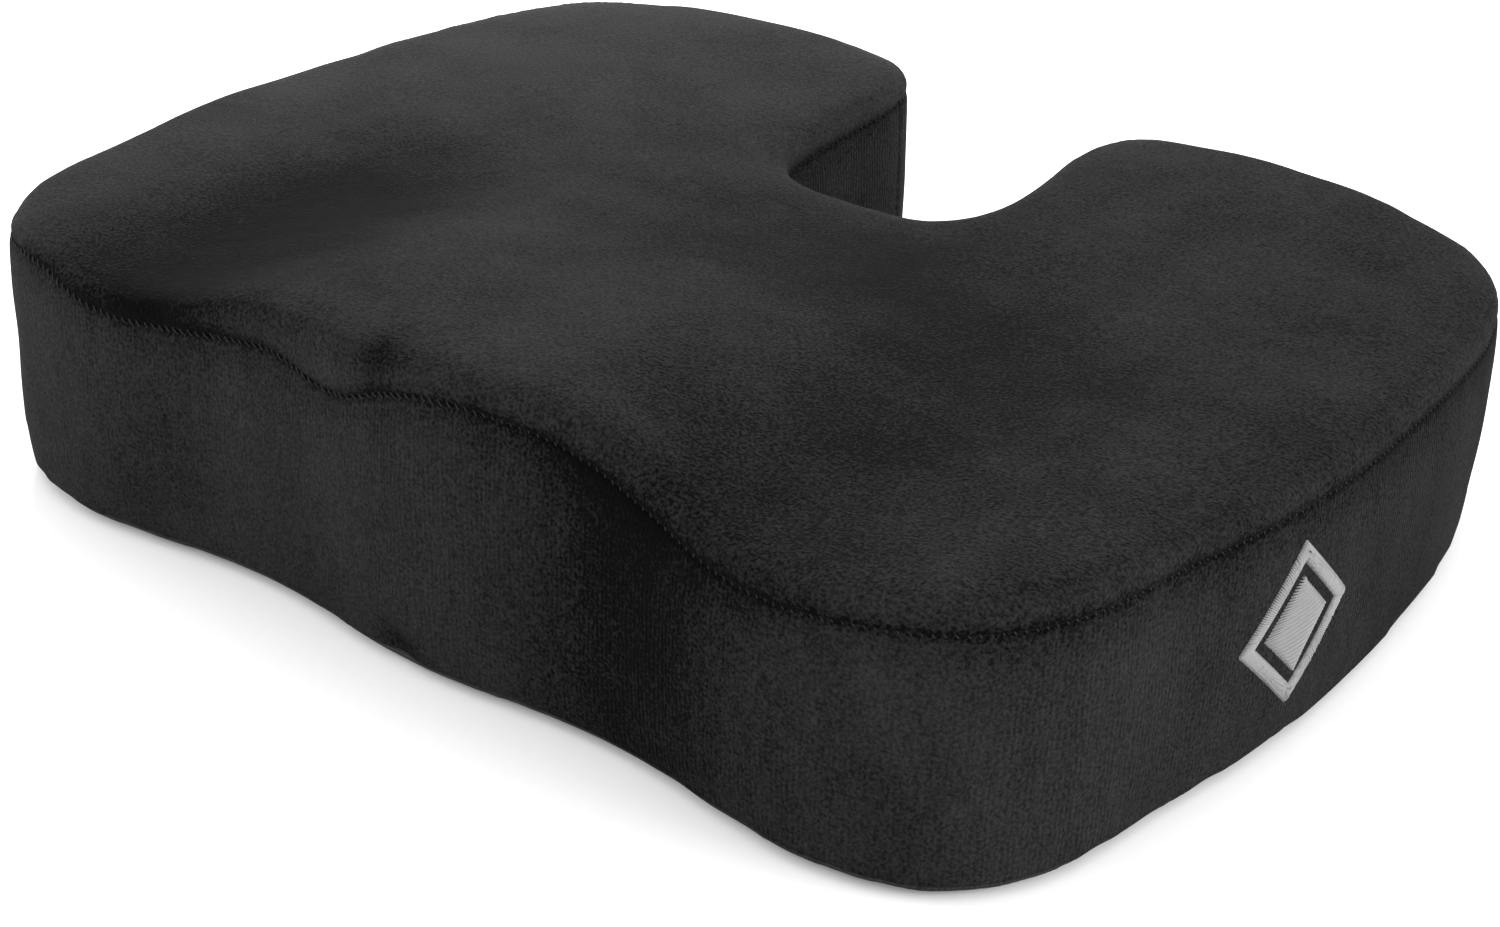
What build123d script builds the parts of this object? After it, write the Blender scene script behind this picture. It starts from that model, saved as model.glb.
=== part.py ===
from build123d import *
from math import cos, degrees, exp, pi, sin, sqrt
import os

# Contoured memory-foam seat cushion in a zipped velour cover.
# Frame: front edge towards -Y, tailbone cut-out open towards +Y, +Z up,
# origin under the middle of the bounding box.

# ---- driving dimensions (mm) ----
HALF_WIDTH = 225.0          # cushion is 450 wide
SIDE_RADIUS = 500.0         # plan radius of each side wall
SIDE_MID_Y = 8.0            # widest point of the side wall
SIDE_FRONT_Y = -100.0       # side arc ends here, towards the front corner
SIDE_REAR_Y = 100.0         # and here, towards the rear corner
SIDE_STEPS = 5              # outline points taken on each side arc
OUTLINE_EDGES = 8           # short edges that the outline is cut into
COVER = 1.8                 # velour with its knit backing
EDGE_ROUND = 9.0            # soft roll of the top edge
FOOT_ROUND = 3.5            # soft roll of the bottom edge
LIP = 10.5                  # how far the top panel wraps down the wall to its seam
FOOT_SEAM = 3.0             # height of the seam round the base panel
STITCH = 0.5                # how far a row of stitching stands proud
PRISM = 160.0               # taller than the cushion

# right half of the plan outline, front middle to the end of the front corner
FRONT_POINTS = [(0, -171), (35, -167.3), (70, -164.2), (105, -168.2), (140, -172.3),
                (163, -170.3), (185, -161), (200, -144.5), (209.5, -122)]
# right half of the plan outline, rear corner, lobe and cut-out, to the cut-out's inner end
REAR_POINTS = [(205, 131), (189, 149), (160, 161), (120, 168.5), (76, 172.3), (53, 166.5),
               (42, 149), (40, 118), (40, 90), (36, 69), (22, 57.5), (0, 56)]

# ---- top surface (mm) ----
SEAT_HEIGHT = 92.4
REAR_FALL = 0.02            # slope of the side edges, down towards the rear
POMMEL_RISE = 12.5
POMMEL_HALF_WIDTH = 88.0
POMMEL_FRONT_Y = -171.0
POMMEL_LENGTH = 205.0
GROOVE_DEPTH = 5.5
GROOVE_X = 122.0
GROOVE_WIDTH = 42.0
GROOVE_LENGTH = 300.0
BOWL_DEPTH = 6.0
BOWL_Y = 35.0
BOWL_RADIUS_X = 150.0
BOWL_RADIUS_Y = 85.0
LOBE_RISE = 4.5
LOBE_START_Y = 85.0

SURFACE_X = 245.0           # the surface patch reaches past the outline on all sides
SURFACE_Y = 190.0
SURFACE_COLUMNS = 20
SURFACE_ROWS = 12

# ---- zip in the left side wall: places run along the wall from its widest point ----
# ---- depths are measured inwards from the wall's face ----
ZIP_HEIGHT = 42.0
OPENING_FRONT = -106.0
OPENING_REAR = 88.0
OPENING_HALF = 5.0          # half the gap between the two folded hems
HEM_WIDTH = 7.0
HEM_DEPTH = 4.9
HEM_END = 6.0               # the hems run on this far past each end of the opening
TAPE_THICK = 0.6
TAPE_EDGE = 0.9
COIL_FRONT = -86.0
COIL_REAR = 82.0
COIL_DEPTH = 3.3
COIL_WIDTH = 2.2
STOP_LENGTH = 2.4
STOP_DEPTH = 3.1
STOP_WIDTH = 2.5
SLIDER_CLOSED = 75.0        # middle of the slider with the zip closed
SLIDER_HALF_LENGTH = 6.0
SLIDER_HALF_WIDTH = 4.2
PLATE_THICK = 1.0
PLATE_DEPTH = 2.0
BACK_PLATE_DEPTH = 5.8
FLANGE = 0.6
FLANGE_DEPTH = 4.4
BRIDGE_HALF = 0.45
BRIDGE_LENGTH = 4.0
BAIL_HALF_LENGTH = 3.6
BAIL_POST = 0.9
BAIL_HALF_WIDTH = 0.9
BAIL_THICK = 0.45
PIN_RADIUS = 0.5
PIN_DEPTH = 1.2
PULL_LENGTH = 20.0
PULL_HALF_WIDTH = 3.0
PULL_THICK = 0.9
ARM_LENGTH = 6.0
ARM_INNER = 1.25
ARM_OUTER = 2.6
SLIDER_CORNER = 1.6
PULL_END_ROUND = 2.2
PULL_HOLE = 1.1
CHANNEL_DEPTH = 7.4
CHANNEL_HALF = 4.8

# ---- embroidered motif on the right side wall ----
MOTIF_Y = -38.0
MOTIF_HEIGHT = 46.0
MOTIF_HALF = 27.0
MOTIF_BAR = 6.5
MOTIF_GAP = 5.0
MOTIF_PROUD = 0.6
BACKING_THICK = 0.4
BACKING_HALF = 30.0

# ---- joins in the side band ----
REAR_JOIN_Y = 148.0
LEFT_JOIN_Y = -118.0
CUTOUT_ZONE_X = 90.0
CUTOUT_ZONE_Y = 30.0
LEFT_ZONE_X = -150.0
JOIN_HALF = 0.7
SEAM_HALF = 0.8
TOPSTITCH = 5.0             # row of stitching beside the zip, from the hem's folded edge
FAR = 300.0


def fade(value):
    """Smooth step from 1 at value 0 to 0 at value 1."""
    value = min(max(value, 0.0), 1.0)
    return 0.5 + 0.5 * cos(pi * value)


def top_height(x, y):
    """Height of the seat surface: pommel, thigh grooves, seat bowl and rear lobes."""
    forward = y - POMMEL_FRONT_Y
    pommel = POMMEL_RISE * exp(-(abs(x) / POMMEL_HALF_WIDTH) ** 4) * fade(forward / POMMEL_LENGTH)
    groove = GROOVE_DEPTH * exp(-((abs(x) - GROOVE_X) / GROOVE_WIDTH) ** 2) * fade(forward / GROOVE_LENGTH)
    bowl = BOWL_DEPTH * exp(-(x / BOWL_RADIUS_X) ** 2 - ((y - BOWL_Y) / BOWL_RADIUS_Y) ** 2)
    lobe = LOBE_RISE * (1 - fade((y - LOBE_START_Y) / 70.0)) * exp(-((abs(x) - 110.0) / 70.0) ** 2)
    return SEAT_HEIGHT - REAR_FALL * y + pommel - groove - bowl + lobe


def side_x(y):
    """Half width of the outline on its side arc."""
    return sqrt(SIDE_RADIUS ** 2 - (y - SIDE_MID_Y) ** 2) - SIDE_RADIUS + HALF_WIDTH


def outline_points():
    """Points of the plan outline, anticlockwise, the same on both sides of the middle plane."""
    span = SIDE_REAR_Y - SIDE_FRONT_Y
    side_ys = [SIDE_FRONT_Y + span * step / (SIDE_STEPS - 1) for step in range(SIDE_STEPS)]
    right = FRONT_POINTS + [(side_x(y), y) for y in side_ys] + REAR_POINTS
    left = [(-x, y) for x, y in reversed(right[1:-1])]
    return [Vector(x, y, 0) for x, y in right + left]


def outline_wire(inset=0.0):
    """Plan outline moved inwards by inset: one smooth closed curve, cut into short edges."""
    points = outline_points()
    curve = Edge.make_spline(points, periodic=True)
    if inset:
        moved = []
        for point in points:
            along = curve.tangent_at(curve.param_at_point(point))
            moved.append(Vector(point.X - along.Y * inset, point.Y + along.X * inset, 0))
        curve = Edge.make_spline(moved, periodic=True)
    cuts = [step / OUTLINE_EDGES for step in range(OUTLINE_EDGES + 1)]
    return Wire([curve.trim(start, end) for start, end in zip(cuts, cuts[1:])])


def under_surface(drop):
    """Everything below the seat surface moved down by drop."""
    rows = []
    for row in range(SURFACE_ROWS + 1):
        y = SURFACE_Y * (2 * row / SURFACE_ROWS - 1)
        xs = [SURFACE_X * (2 * col / SURFACE_COLUMNS - 1) for col in range(SURFACE_COLUMNS + 1)]
        rows.append([Vector(x, y, top_height(x, y) - drop) for x in xs])
    surface = Face.make_surface_from_array_of_points(rows, tol=0.05, min_deg=3, max_deg=5)
    return Solid.extrude(surface, Vector(0, 0, -PRISM))


def column(inset, low, high):
    """Upright block with the plan outline, from low to high."""
    section = Face(outline_wire(inset))
    return Solid.extrude(section, Vector(0, 0, high - low)).moved(Location((0, 0, low)))


def wall(outer, inner, low, high):
    """Upright wall that follows the outline, between two insets and two heights."""
    section = Face(outline_wire(outer), [outline_wire(inner)])
    return Solid.extrude(section, Vector(0, 0, high - low)).moved(Location((0, 0, low)))


def envelope(inset):
    """Cushion shape moved inwards by inset, with its soft top and bottom edges."""
    block = column(inset, inset, PRISM) & under_surface(inset)
    block = block.fillet(EDGE_ROUND - inset, block.faces().sort_by(Axis.Z)[-1].edges())
    return block.fillet(FOOT_ROUND - inset, block.faces().sort_by(Axis.Z)[0].edges())


def zone(x_low, x_high, y_low, y_high, z_low=-FAR, z_high=FAR):
    """Block between two places along each axis."""
    size = (x_high - x_low, y_high - y_low, z_high - z_low)
    middle = ((x_low + x_high) / 2, (y_low + y_high) / 2, (z_low + z_high) / 2)
    return Solid.make_box(*size).moved(Location([m - s / 2 for m, s in zip(middle, size)]))


def wall_block(depth_out, depth_in, z_low, z_high, start, end):
    """Curved block in the left wall, between two depths, two heights and two places along it."""
    middle = Vector(SIDE_RADIUS - HALF_WIDTH, SIDE_MID_Y, 0)

    def place(depth, along):
        angle = along / SIDE_RADIUS
        radius = SIDE_RADIUS - depth
        return middle + Vector(-radius * cos(angle), radius * sin(angle), 0)

    half = (start + end) / 2
    outer = Edge.make_three_point_arc(place(depth_out, start), place(depth_out, half), place(depth_out, end))
    inner = Edge.make_three_point_arc(place(depth_in, end), place(depth_in, half), place(depth_in, start))
    rear = Edge.make_line(place(depth_out, end), place(depth_in, end))
    front = Edge.make_line(place(depth_in, start), place(depth_out, start))
    section = Face(Wire([outer, rear, inner, front]))
    block = Solid.extrude(section, Vector(0, 0, z_high - z_low))
    return block.moved(Location((0, 0, ZIP_HEIGHT + z_low)))


def along_wall(piece, along):
    """Piece made at the wall's widest point, carried along the wall."""
    middle = (SIDE_RADIUS - HALF_WIDTH, SIDE_MID_Y, 0)
    turn = Location(middle) * Location((0, 0, 0), (0, 0, -degrees(along / SIDE_RADIUS)))
    return piece.moved(turn * Location(middle).inverse())


def mirror_height(piece):
    """Copy of a zip piece below the middle line of the opening."""
    return piece.mirror(Plane.XY.offset(ZIP_HEIGHT))


# ---- soft pieces ----
def top_panel(shell):
    """Seat cloth, wrapped over the top edge down to its seam."""
    return shell - under_surface(LIP)


def base_panel(shell):
    """Anti-slip cloth underneath, with its rolled edge."""
    return shell & zone(-FAR, FAR, -FAR, FAR, -FAR, FOOT_SEAM)


def band_ring(shell):
    """Whole side band between the top seam and the base seam."""
    return (shell & under_surface(LIP)) - zone(-FAR, FAR, -FAR, FAR, -FAR, FOOT_SEAM)


def cutout_zone():
    return zone(-CUTOUT_ZONE_X, CUTOUT_ZONE_X, CUTOUT_ZONE_Y, REAR_JOIN_Y)


def left_zone():
    return zone(-FAR, LEFT_ZONE_X, LEFT_JOIN_Y, REAR_JOIN_Y)


def main_band(ring):
    """Band round the front edge and the right side in one length."""
    front = ring & zone(-FAR, FAR, -FAR, REAR_JOIN_Y)
    return front - cutout_zone() - left_zone()


def rear_band(ring, side):
    """Band round the end of one rear lobe."""
    low, high = sorted((0.0, side * FAR))
    return ring & zone(low, high, REAR_JOIN_Y, FAR)


def hem():
    """Folded hem beside the upper edge of the zip opening, closed at both ends."""
    long = wall_block(COVER / 2, HEM_DEPTH, OPENING_HALF, OPENING_HALF + HEM_WIDTH,
                      OPENING_FRONT - HEM_END, OPENING_REAR + HEM_END)
    front = wall_block(COVER / 2, HEM_DEPTH, 0, OPENING_HALF, OPENING_FRONT - HEM_END, OPENING_FRONT)
    rear = wall_block(COVER / 2, HEM_DEPTH, 0, OPENING_HALF, OPENING_REAR, OPENING_REAR + HEM_END)
    return long + front + rear


def left_band(ring, upper):
    """Half of the left side band, with the folded hem of the zip opening."""
    band = ring & left_zone()
    opening = wall_block(-COVER, HEM_DEPTH, -OPENING_HALF, OPENING_HALF, OPENING_FRONT, OPENING_REAR)
    if upper:
        half = (band & zone(-FAR, FAR, -FAR, FAR, ZIP_HEIGHT, FAR)) - opening
        return half + hem()
    half = (band & zone(-FAR, FAR, -FAR, FAR, -FAR, ZIP_HEIGHT)) - opening
    return half + mirror_height(hem())


def foam_core(inner, backing):
    """Moulded memory-foam block, relieved behind the zip and the motif."""
    reach = OPENING_HALF + HEM_WIDTH
    pocket = wall_block(-COVER, HEM_DEPTH + TAPE_THICK, -reach, reach,
                        OPENING_FRONT - HEM_END, OPENING_REAR + HEM_END)
    channel = wall_block(0, CHANNEL_DEPTH, -CHANNEL_HALF, CHANNEL_HALF, OPENING_FRONT, OPENING_REAR)
    return inner - pocket - channel - backing


# ---- zip ----
def zip_tape():
    """Upper woven tape, sewn behind the hem."""
    return wall_block(HEM_DEPTH, HEM_DEPTH + TAPE_THICK, TAPE_EDGE, OPENING_HALF + HEM_WIDTH,
                      OPENING_FRONT - HEM_END, OPENING_REAR + HEM_END)


def zip_coil():
    """Upper nylon coil, on the outer face of its tape."""
    return wall_block(COIL_DEPTH, HEM_DEPTH, TAPE_EDGE, TAPE_EDGE + COIL_WIDTH, COIL_FRONT, COIL_REAR)


def zip_top_stops():
    """Two stops, one at the closed end of each coil."""
    stop = wall_block(STOP_DEPTH, HEM_DEPTH, TAPE_EDGE, TAPE_EDGE + STOP_WIDTH,
                      COIL_REAR, COIL_REAR + STOP_LENGTH)
    return Compound([stop, mirror_height(stop)])


def zip_bottom_stop():
    """One stop across both coils at the open end."""
    reach = TAPE_EDGE + STOP_WIDTH
    return wall_block(STOP_DEPTH, HEM_DEPTH, -reach, reach, COIL_FRONT - STOP_LENGTH, COIL_FRONT)


def slider_plate(depth):
    """One wing of the slider, rounded at its corners."""
    plate = wall_block(depth, depth + PLATE_THICK, -SLIDER_HALF_WIDTH, SLIDER_HALF_WIDTH,
                       -SLIDER_HALF_LENGTH, SLIDER_HALF_LENGTH)
    upright = [edge for edge in plate.edges() if abs(edge.length - PLATE_THICK) < PLATE_THICK / 100]
    return plate.fillet(SLIDER_CORNER, upright)


def zip_slider():
    """Slider body: two plates, flanges, the bridge between the coils and the bail."""
    slider = slider_plate(PLATE_DEPTH) + slider_plate(BACK_PLATE_DEPTH)
    slider += wall_block(PLATE_DEPTH + PLATE_THICK / 2, BACK_PLATE_DEPTH + PLATE_THICK / 2,
                         -BRIDGE_HALF, BRIDGE_HALF,
                         SLIDER_HALF_LENGTH - BRIDGE_LENGTH, SLIDER_HALF_LENGTH)
    flange = wall_block(PLATE_DEPTH + PLATE_THICK / 2, FLANGE_DEPTH, SLIDER_HALF_WIDTH - FLANGE,
                        SLIDER_HALF_WIDTH, -SLIDER_HALF_LENGTH / 2, SLIDER_HALF_LENGTH / 2)
    slider += flange
    slider += mirror_height(flange)
    slider += wall_block(0, BAIL_THICK, -BAIL_HALF_WIDTH, BAIL_HALF_WIDTH, -BAIL_HALF_LENGTH, BAIL_HALF_LENGTH)
    for end in (-1, 1):
        low, high = sorted((end * BAIL_HALF_LENGTH, end * (BAIL_HALF_LENGTH - BAIL_POST)))
        slider += wall_block(0, PLATE_DEPTH + PLATE_THICK / 2, -BAIL_HALF_WIDTH, BAIL_HALF_WIDTH, low, high)
    return along_wall(slider, SLIDER_CLOSED)


def pull_tab():
    """Flat pull: a crossbar under the bail, two arms and a tab with a rounded end."""
    face_x = -HALF_WIDTH + PIN_DEPTH
    pin = Solid.make_cylinder(PIN_RADIUS, 2 * ARM_OUTER, Plane((face_x, SIDE_MID_Y, ZIP_HEIGHT - ARM_OUTER)))
    low_x, high_x = face_x - PULL_THICK / 2, face_x + PULL_THICK / 2
    tab = zone(low_x, high_x, SIDE_MID_Y - PULL_LENGTH, SIDE_MID_Y - ARM_LENGTH,
               ZIP_HEIGHT - PULL_HALF_WIDTH, ZIP_HEIGHT + PULL_HALF_WIDTH)
    ends = tab.edges().filter_by(Axis.X).sort_by(Axis.Y)
    tab = tab.fillet(PULL_END_ROUND, ends[:2])
    hole_y = SIDE_MID_Y - PULL_LENGTH + PULL_HALF_WIDTH
    tab -= Solid.make_cylinder(PULL_HOLE, 2, Plane((low_x - 1, hole_y, ZIP_HEIGHT), z_dir=(1, 0, 0)))
    pull = pin + tab
    for side in (-1, 1):
        low, high = sorted((side * ARM_INNER, side * ARM_OUTER))
        pull += zone(low_x, high_x, SIDE_MID_Y - ARM_LENGTH - 1, SIDE_MID_Y,
                     ZIP_HEIGHT + low, ZIP_HEIGHT + high)
    return along_wall(pull, SLIDER_CLOSED)


# ---- motif and stitching ----
def diamond(half):
    """Upright lozenge column through the right wall, centred on the motif."""
    corners = [(half, 0), (0, half), (-half, 0), (0, -half)]
    points = [Vector(0, MOTIF_Y + y, MOTIF_HEIGHT + z) for y, z in corners]
    section = Face(Wire.make_polygon(points, close=True))
    return Solid.extrude(section, Vector(FAR, 0, 0))


def motif():
    """Plain embroidered lozenge: a frame of satin stitch and a filled middle."""
    skin = wall(-MOTIF_PROUD, 0.0, FOOT_ROUND, PRISM / 2)
    frame = (diamond(MOTIF_HALF) - diamond(MOTIF_HALF - MOTIF_BAR)) & skin
    middle = diamond(MOTIF_HALF - MOTIF_BAR - MOTIF_GAP) & skin
    return Compound(frame.solids() + middle.solids())


def motif_backing():
    """Stiffener cloth left behind the embroidery."""
    patch = zone(0, FAR, MOTIF_Y - BACKING_HALF, MOTIF_Y + BACKING_HALF,
                 MOTIF_HEIGHT - BACKING_HALF, MOTIF_HEIGHT + BACKING_HALF)
    return patch & wall(COVER, COVER + BACKING_THICK, FOOT_ROUND, PRISM / 2)


def top_seam(bead):
    """Row of stitching where the seat cloth meets the side band."""
    return (bead & under_surface(LIP - SEAM_HALF)) - under_surface(LIP + SEAM_HALF)


def base_seam(bead):
    """Row of stitching round the base panel."""
    return bead & zone(-FAR, FAR, -FAR, FAR, FOOT_SEAM, FOOT_SEAM + 2 * SEAM_HALF)


def join_stitching(bead):
    """Upright rows of stitching at the five joins of the side band."""
    bead = (bead & under_surface(LIP + SEAM_HALF)) - zone(-FAR, FAR, -FAR, FAR, -FAR, FOOT_SEAM + 2 * SEAM_HALF)
    slabs = [zone(low, high, REAR_JOIN_Y - JOIN_HALF, REAR_JOIN_Y + JOIN_HALF)
             for low, high in ((-FAR, LEFT_ZONE_X), (-CUTOUT_ZONE_X, 0), (0, CUTOUT_ZONE_X), (-LEFT_ZONE_X, FAR))]
    slabs.append(zone(-FAR, LEFT_ZONE_X, LEFT_JOIN_Y - JOIN_HALF, LEFT_JOIN_Y + JOIN_HALF))
    rows = []
    for slab in slabs:
        rows += (bead & slab).solids()
    return Compound(rows)


def zip_stitching(bead):
    """Two long rows of stitching that hold the hems to the tapes."""
    middle = OPENING_HALF + TOPSTITCH
    row = bead & wall_block(-2 * STITCH, COVER, middle - SEAM_HALF / 2, middle + SEAM_HALF / 2,
                            OPENING_FRONT - HEM_END, OPENING_REAR + HEM_END)
    low = bead & wall_block(-2 * STITCH, COVER, -middle - SEAM_HALF / 2, -middle + SEAM_HALF / 2,
                            OPENING_FRONT - HEM_END, OPENING_REAR + HEM_END)
    return Compound(row.solids() + low.solids())


def main():
    """Build every piece and write it to its own file."""
    outer = envelope(0.0)
    inner = envelope(COVER)
    shell = outer - inner
    ring = band_ring(shell)
    bead = wall(-STITCH, 0.0, 0.0, PRISM)
    backing = motif_backing()
    pieces = {
        "foam_core": foam_core(inner, backing),
        "top_panel": top_panel(shell),
        "front_right_band": main_band(ring),
        "rear_right_band": rear_band(ring, 1),
        "cutout_band": ring & cutout_zone(),
        "rear_left_band": rear_band(ring, -1),
        "left_band_upper": left_band(ring, True),
        "left_band_lower": left_band(ring, False),
        "base_panel": base_panel(shell),
        "top_seam_stitching": top_seam(bead),
        "base_seam_stitching": base_seam(bead),
        "join_stitching": join_stitching(bead),
        "zip_stitching": zip_stitching(bead),
        "embroidered_motif": motif(),
        "motif_backing": backing,
        "zip_tape_upper": zip_tape(),
        "zip_tape_lower": mirror_height(zip_tape()),
        "zip_coil_upper": zip_coil(),
        "zip_coil_lower": mirror_height(zip_coil()),
        "zip_top_stops": zip_top_stops(),
        "zip_bottom_stop": zip_bottom_stop(),
        "zip_slider": zip_slider(),
        "zip_pull_tab": pull_tab(),
    }
    os.makedirs("parts", exist_ok=True)
    for name, piece in pieces.items():
        export_step(piece, "parts/" + name + ".step")
        print(name, len(piece.solids()), "solids", round(piece.volume, 1), "mm3")


if __name__ == "__main__":
    main()
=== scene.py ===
import math

import bmesh
import bpy
import numpy as np
from mathutils import Matrix, Vector, noise
from mathutils.bvhtree import BVHTree
from mathutils.kdtree import KDTree


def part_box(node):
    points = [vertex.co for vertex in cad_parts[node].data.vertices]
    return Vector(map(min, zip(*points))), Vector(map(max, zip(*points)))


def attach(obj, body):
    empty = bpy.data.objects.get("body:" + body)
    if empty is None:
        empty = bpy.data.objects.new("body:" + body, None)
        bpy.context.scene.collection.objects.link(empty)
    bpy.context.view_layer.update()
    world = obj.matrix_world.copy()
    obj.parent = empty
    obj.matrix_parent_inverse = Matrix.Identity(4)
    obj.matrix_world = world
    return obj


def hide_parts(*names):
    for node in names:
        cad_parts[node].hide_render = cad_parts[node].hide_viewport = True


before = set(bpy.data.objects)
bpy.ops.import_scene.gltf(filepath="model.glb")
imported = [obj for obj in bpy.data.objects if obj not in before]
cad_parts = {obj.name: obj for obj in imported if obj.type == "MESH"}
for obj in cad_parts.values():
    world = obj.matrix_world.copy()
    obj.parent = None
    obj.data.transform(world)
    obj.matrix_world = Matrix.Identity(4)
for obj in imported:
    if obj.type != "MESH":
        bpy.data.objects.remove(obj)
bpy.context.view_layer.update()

MM = 0.001

# ---- camera ----
CAMERA_PLACE = (0.47393, -0.63513, 0.43891)
CAMERA_AIM = (0.05265, -0.07043, 0.05)
CAMERA_ROLL = math.radians(1.8106)
CAMERA_LENS = 62.84
CAMERA_SENSOR = 36.0

# ---- cover: swelling under pressure (metres) ----
VOXEL = 0.004
PRESSURE = 5.0
GROWTH = -0.012             # the cloth is cut a little larger than the small form
LEAST = 0.0020              # a free point swells back at least this far
SEAM_PINCH = 0.0012         # and a point on the top seam this far
SIM_FRAMES = 20
EVEN_ROUNDS = 14            # the foam keeps the swelling even, without wrinkles
START_SMALLER = 0.0030      # the form starts this much smaller and swells back
CAP = 0.0032                # furthest that a point may move while it swells
HELD_FOOT = 0.009           # below this height the cover is held
LOWEST = 0.0006             # the cover stays this far above the floor, for its dots

# ---- cover: seams and pieces (metres) ----
LIP = 0.0105                # the top seam lies this far below the seat surface
FOOT = 0.0038               # height of the seam round the base panel
REAR_JOIN = 0.148           # Y of the joins at both ends of each rear band
LEFT_JOIN = -0.118          # Y of the join at the front end of the left band
SIDE_X = -0.150             # the left wall lies beyond this line
CUTOUT_X = 0.090            # the cut-out lies within this of the middle
CUTOUT_Y = 0.030            # and behind this line
FRONT_Y = -0.100            # the front wall lies in front of this line
CLOTH = 0.0011              # thickness of the cloth
WALL_NORMAL = 0.93          # a face whose normal is less upright than this is wall
DIMPLE_Z = 0.009            # height of the pulled-in spot in the front wall
FOAM_INSET = 0.0050         # the foam lies this far inside its CAD skin
FOAM_PORES = 0.0004

# ---- zip ----
ZIP_Z = 0.042               # height of the opening's middle
ZIP_HALF = 0.005            # half the opening's height
ZIP_LIP = 0.0012            # extra cuts this far outside the opening keep its edge crisp
ZIP_FRONT = -0.096          # ends of the opening, along Y
ZIP_REAR = 0.0945
WALL_CENTRE = (0.275, 0.008)    # the left wall is an arc about this place
WALL_RADIUS = 0.500
# each fold of the hem: in from the wall, and towards the middle of the opening
HEM_STEPS = ((0.0005, 0.0003), (0.0012, 0.0003), (0.0026, 0.0))
COIL_PITCH = 0.0013
COIL_START, COIL_END = -0.086, 0.082
COIL_DEPTH = 0.0041         # in from the face of the wall
COIL_OUT = 0.00185          # up or down from the middle of the opening
COIL_HALF_HEIGHT = 0.00110
COIL_HALF_DEPTH = 0.00055
COIL_WIRE = 0.00022

# ---- thread ----
WHIP_PITCH = 0.0030
WHIP_RADIUS = 0.00024
ZIP_ROW = 0.010             # the rows beside the zip lie this far from its middle

# ---- edge loops beside the seams, as distances from each seam ----
SEAM_LINES = (-0.0042, -0.0024, -0.0010, 0.0, 0.0010, 0.0024, 0.0044)
FOOT_LINES = (-0.0022, -0.0008, 0.0, 0.0008, 0.0020, 0.0040)
JOIN_CUTS = (-0.0022, -0.0008, 0.0, 0.0008, 0.0022)

# ---- painted shade in the seams and painted highlight on the roll, in the material's tone ----
PAINTED_SEAM_SHADE = 0.55
PAINTED_ROLL_HIGHLIGHT = 0.22


# ---------------------------------------------------------------- shape functions
def fade(value):
    """Smooth step from 1 at value 0 to 0 at value 1."""
    value = np.clip(value, 0.0, 1.0)
    return 0.5 + 0.5 * np.cos(np.pi * value)


def bump(value, middle, width):
    """Bell curve: 1 at the middle, near 0 two widths away."""
    return np.exp(-((value - middle) / width) ** 2)


def top_height(x, y):
    """Seat surface: pommel, thigh grooves, seat bowl and rear lobes."""
    x, y = np.abs(np.asarray(x)) / MM, np.asarray(y) / MM
    forward = y + 171.0
    pommel = 12.5 * np.exp(-(x / 88.0) ** 4) * fade(forward / 205.0)
    groove = 5.5 * bump(x, 122.0, 42.0) * fade(forward / 300.0)
    bowl = 6.0 * np.exp(-(x / 150.0) ** 2 - ((y - 35.0) / 85.0) ** 2)
    lobe = 4.5 * (1 - fade((y - 85.0) / 70.0)) * bump(x, 110.0, 70.0)
    return (92.4 - 0.02 * y + pommel - groove - bowl + lobe) * MM


def seam_height(x, y):
    """Height of the top seam. On the left of the front wall it wanders, as sewn by hand."""
    x, y = np.asarray(x), np.asarray(y)
    front = fade((y - FRONT_Y + 0.03) / 0.03)
    wander = (-0.0125 * bump(x, -0.030, 0.026) - 0.0050 * bump(x, -0.072, 0.024)
              + 0.0045 * bump(x, -0.160, 0.022))
    return top_height(x, y) - LIP + wander * front


def arrays(bm):
    """Positions and normals of a bmesh's vertices."""
    bm.normal_update()
    bm.verts.ensure_lookup_table()
    places = np.array([v.co for v in bm.verts])
    normals = np.array([v.normal for v in bm.verts])
    return places, normals


def place_all(bm, places):
    """Moves every vertex to its place."""
    for vert, place in zip(bm.verts, places):
        vert.co = place


def soft_noise(places, scale, seed):
    """Smooth noise from -1 to 1 at each place."""
    shift = Vector((seed * 17.3, seed * 5.1, seed * 9.7))
    return np.array([noise.noise(Vector(p) * scale + shift) for p in places])


# ---------------------------------------------------------------- making meshes
def new_object(name, bm):
    """Object made from the bmesh, which is freed."""
    mesh = bpy.data.meshes.new(name)
    bm.to_mesh(mesh)
    bm.free()
    obj = bpy.data.objects.new(name, mesh)
    bpy.context.scene.collection.objects.link(obj)
    return obj


def evaluated(obj):
    """bmesh of the object with its modifiers."""
    graph = bpy.context.evaluated_depsgraph_get()
    bm = bmesh.new()
    bm.from_object(obj, graph)
    return bm


def remeshed(nodes, voxel):
    """One closed form made from copies of CAD nodes."""
    bm = bmesh.new()
    for node in nodes:
        bm.from_mesh(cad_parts[node].data)
    obj = new_object("form", bm)
    mod = obj.modifiers.new("remesh", "REMESH")
    mod.mode = "VOXEL"
    mod.voxel_size = voxel
    out = evaluated(obj)
    bpy.data.objects.remove(obj)
    return out


def largest_only(bm):
    """Keeps the largest connected shell."""
    seen, shells = set(), []
    for start in bm.verts:
        if start in seen:
            continue
        shell, stack = [], [start]
        seen.add(start)
        while stack:
            vert = stack.pop()
            shell.append(vert)
            for edge in vert.link_edges:
                other = edge.other_vert(vert)
                if other not in seen:
                    seen.add(other)
                    stack.append(other)
        shells.append(shell)
    shells.sort(key=len)
    for shell in shells[:-1]:
        bmesh.ops.delete(bm, geom=shell, context="VERTS")


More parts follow.
